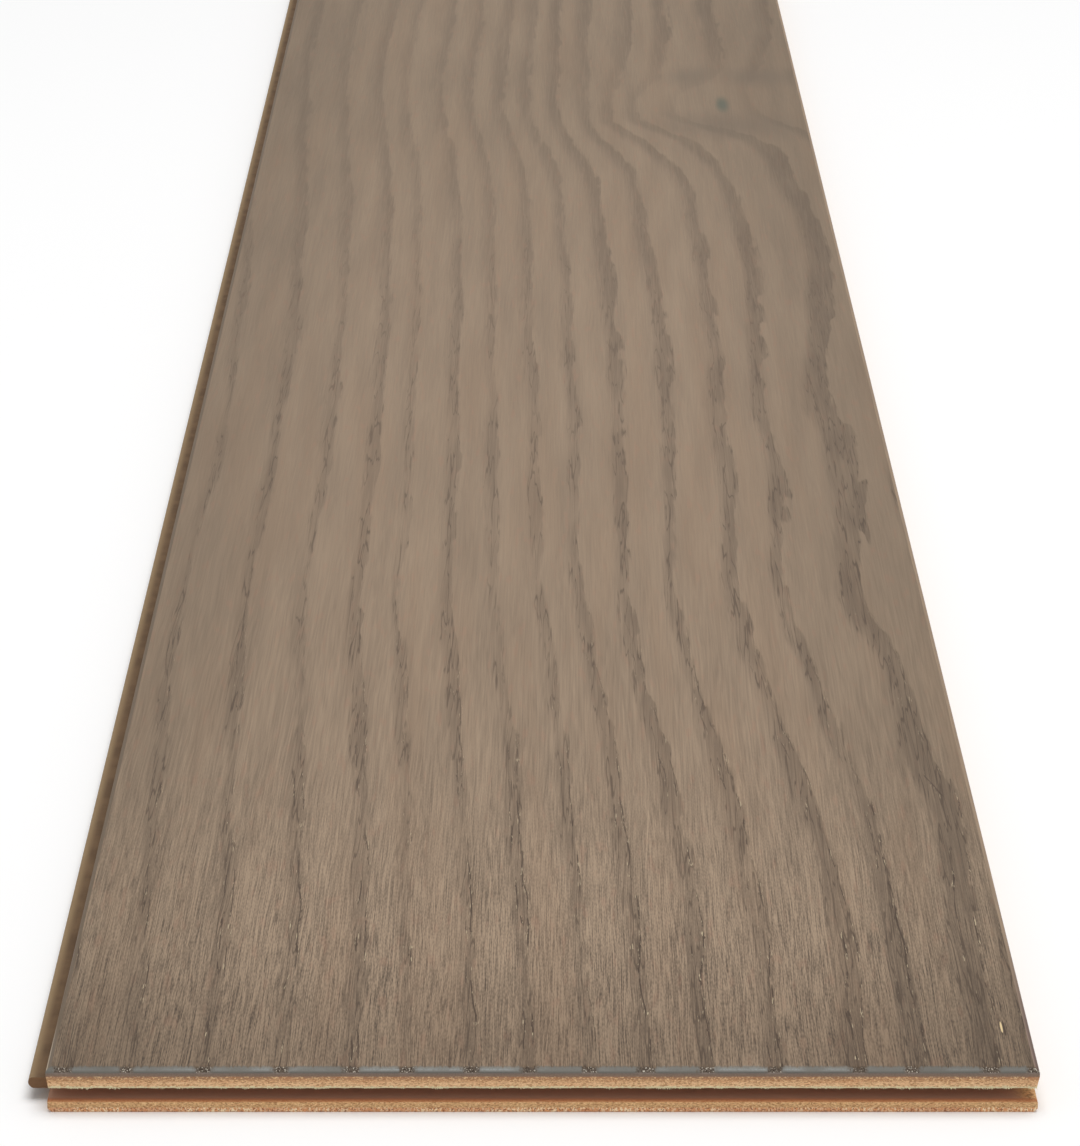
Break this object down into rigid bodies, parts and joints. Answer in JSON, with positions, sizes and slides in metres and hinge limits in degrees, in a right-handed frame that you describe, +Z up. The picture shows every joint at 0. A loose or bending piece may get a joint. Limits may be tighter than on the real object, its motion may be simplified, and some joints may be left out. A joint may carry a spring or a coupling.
{
  "type": "engineered floorboard",
  "caption": "Flat engineered wood floorboard with a brushed, grey-brown stained face on a fibreboard core and tongue-and-groove edges that lock it to the boards beside it.",
  "frame": {"origin": "centre of the underside, below the centre of the face (the face is measured between the joints, without the tongues)", "axes": "+X across the board towards the side groove, +Y along the board towards the end tongue, +Z up out of the face"},
  "size_m": [0.1946, 1.2233, 0.0095],
  "materials": {
    "backing_veneer": "raw",
    "fibreboard_core": "raw, milled",
    "face_veneer": "matt, brushed and stained"
  },
  "bodies": {
    "root": {"backing_veneer": "backing_veneer", "fibreboard_core": "fibreboard_core", "face_veneer": "face_veneer"}
  },
  "joints": []
}
